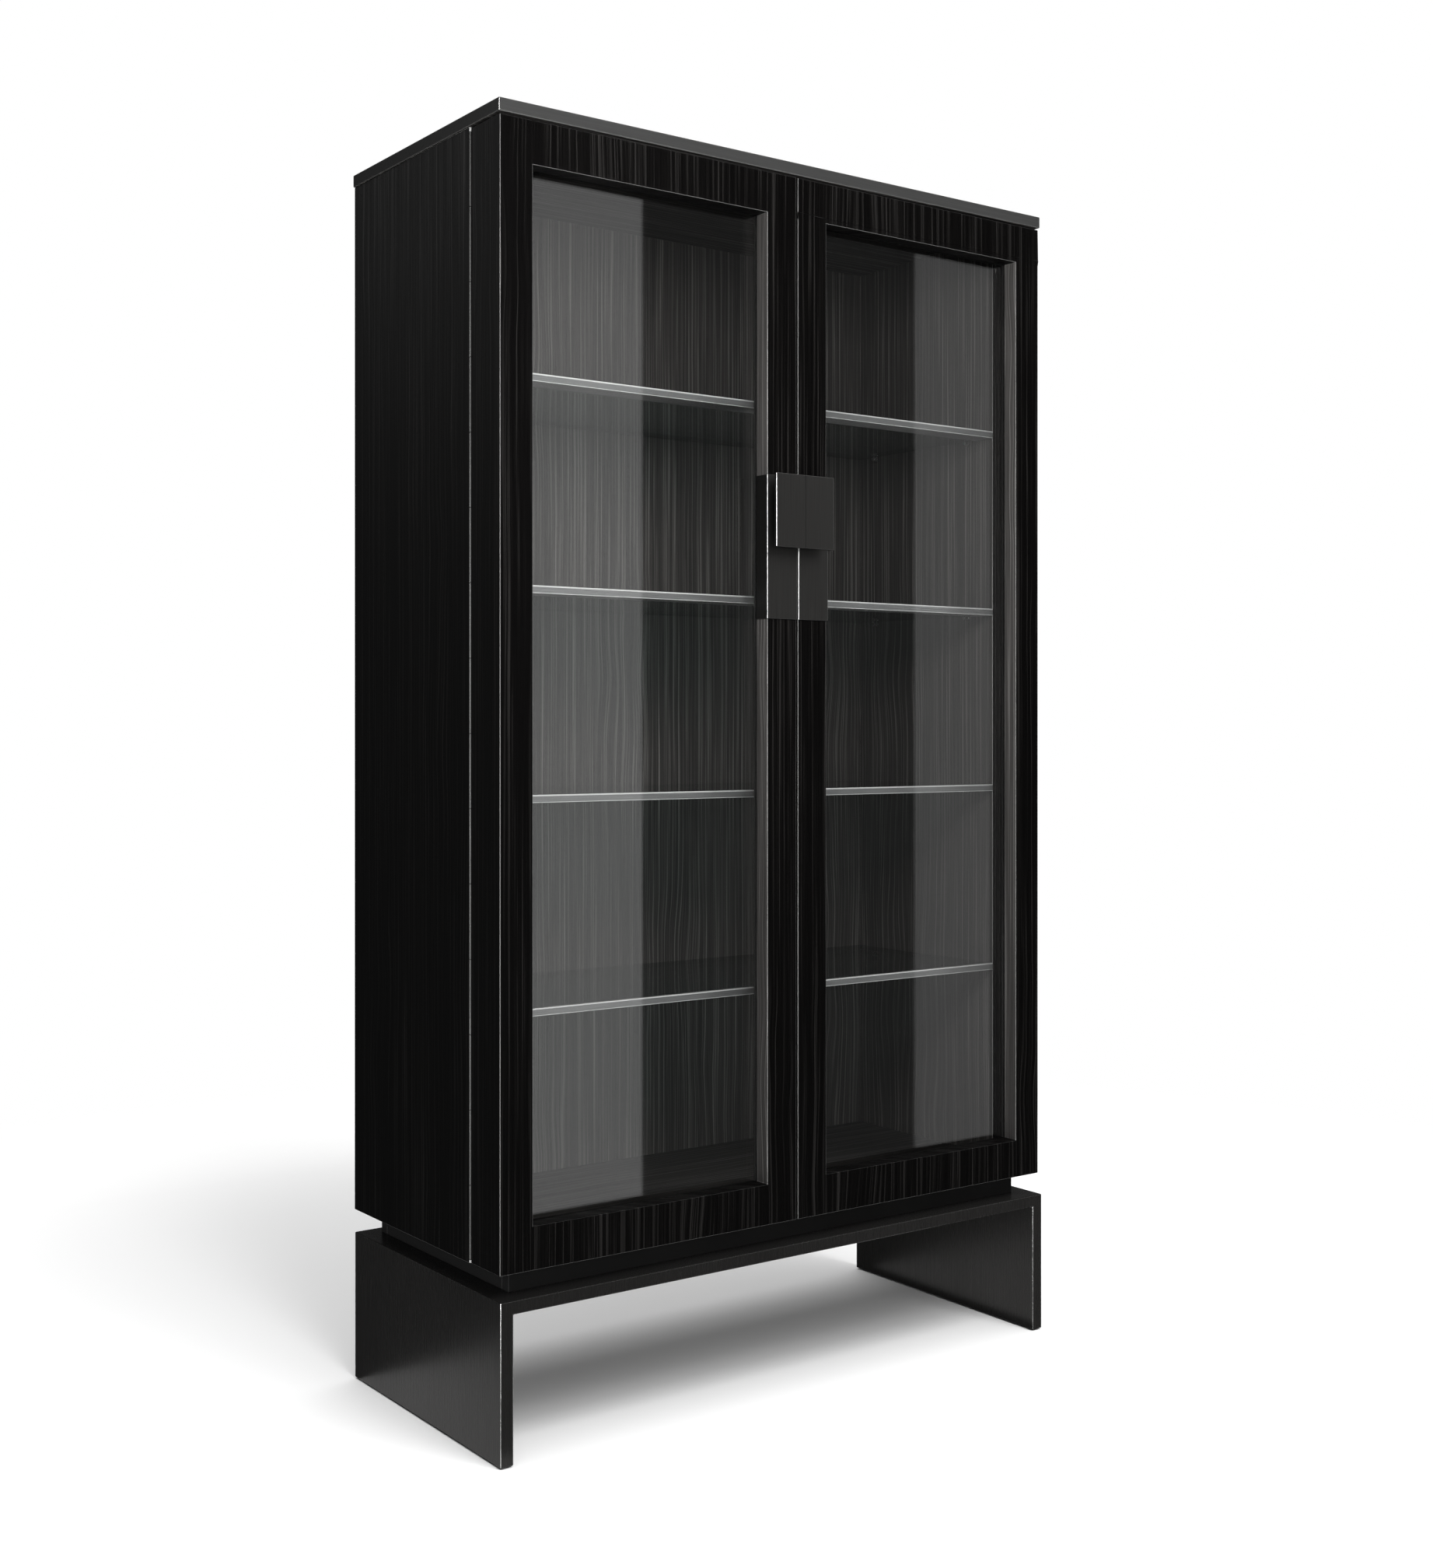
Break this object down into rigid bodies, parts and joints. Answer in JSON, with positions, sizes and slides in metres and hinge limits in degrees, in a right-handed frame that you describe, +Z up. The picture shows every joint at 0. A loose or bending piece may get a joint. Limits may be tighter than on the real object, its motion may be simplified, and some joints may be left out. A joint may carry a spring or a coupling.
{
  "type": "china cabinet with glass doors",
  "caption": "Tall dark-veneered china cabinet with framed glass doors that wrap round the sides, glass shelves with metal front rails, and a bridge-shaped metal base.",
  "frame": {"origin": "on the floor, at the middle of the footprint of the whole cabinet", "axes": "+Z up; the doors face -Y; +X is to the right of someone facing the doors"},
  "size_m": [1, 0.46, 1.8],
  "materials": {
    "veneer": "near-black open-grain veneer, satin lacquer, grain upright",
    "interior_veneer": "the same veneer in a greyer tone, satin",
    "top_lacquer": "dark grey satin lacquer over board",
    "base_lacquer": "gunmetal metallic lacquer over board, satin, faintly brushed",
    "gunmetal": "satin gunmetal, faintly brushed",
    "plinth_black": "matt black",
    "aluminium": "satin anodised with fine ribs",
    "steel": "nickel-plated satin",
    "rubber": "matt black",
    "clear_glass": "clear float glass",
    "shelf_glass": "tempered float glass with a grey-green tint"
  },
  "bodies": {
    "cabinet": {"base_top_slab": "base_lacquer", "base_left_leg": "base_lacquer", "base_right_leg": "base_lacquer", "left_leg_glide": "rubber", "right_leg_glide": "rubber", "magnetic_catch": "rubber", "plinth_front": "plinth_black", "plinth_back": "plinth_black", "plinth_left": "plinth_black", "plinth_right": "plinth_black", "left_side_panel": "veneer", "right_side_panel": "veneer", "bottom_panel": "interior_veneer", "back_panel": "interior_veneer", "top_panel": "top_lacquer", "glass_shelf_1": "shelf_glass", "shelf_rail_1": "aluminium", "glass_shelf_2": "shelf_glass", "shelf_rail_2": "aluminium", "glass_shelf_3": "shelf_glass", "shelf_rail_3": "aluminium", "glass_shelf_4": "shelf_glass", "shelf_rail_4": "aluminium", "shelf_pin_left_front_1": "steel", "shelf_pin_left_front_2": "steel", "shelf_pin_left_front_3": "steel", "shelf_pin_left_front_4": "steel", "shelf_pin_left_back_1": "steel", "shelf_pin_left_back_2": "steel", "shelf_pin_left_back_3": "steel", "shelf_pin_left_back_4": "steel", "left_hinge_body_leaf": "steel", "left_hinge_pin": "steel", "shelf_pin_right_front_1": "steel", "shelf_pin_right_front_2": "steel", "shelf_pin_right_front_3": "steel", "shelf_pin_right_front_4": "steel", "shelf_pin_right_back_1": "steel", "shelf_pin_right_back_2": "steel", "shelf_pin_right_back_3": "steel", "shelf_pin_right_back_4": "steel", "right_hinge_body_leaf": "steel", "right_hinge_pin": "steel"},
    "left_door": {"left_hinge_door_leaf": "steel", "left_catch_strike": "steel", "left_door_frame": "veneer", "left_door_return": "veneer", "left_door_glass": "clear_glass", "left_glass_bead": "plinth_black", "left_handle_plate": "gunmetal", "left_pull_half": "gunmetal"},
    "right_door": {"right_hinge_door_leaf": "steel", "right_catch_strike": "steel", "right_door_frame": "veneer", "right_door_return": "veneer", "right_door_glass": "clear_glass", "right_glass_bead": "plinth_black", "right_handle_plate": "gunmetal", "right_pull_half": "gunmetal"}
  },
  "joints": [
    {"name": "left_door_hinge", "type": "hinge", "parent": "cabinet", "child": "left_door", "pos_m": [-0.4975, -0.13, 1.0155], "axis": [0, 0, -1], "range_deg": [0, 110]},
    {"name": "right_door_hinge", "type": "hinge", "parent": "cabinet", "child": "right_door", "pos_m": [0.4975, -0.13, 1.0155], "axis": [0, 0, 1], "range_deg": [0, 110]}
  ]
}
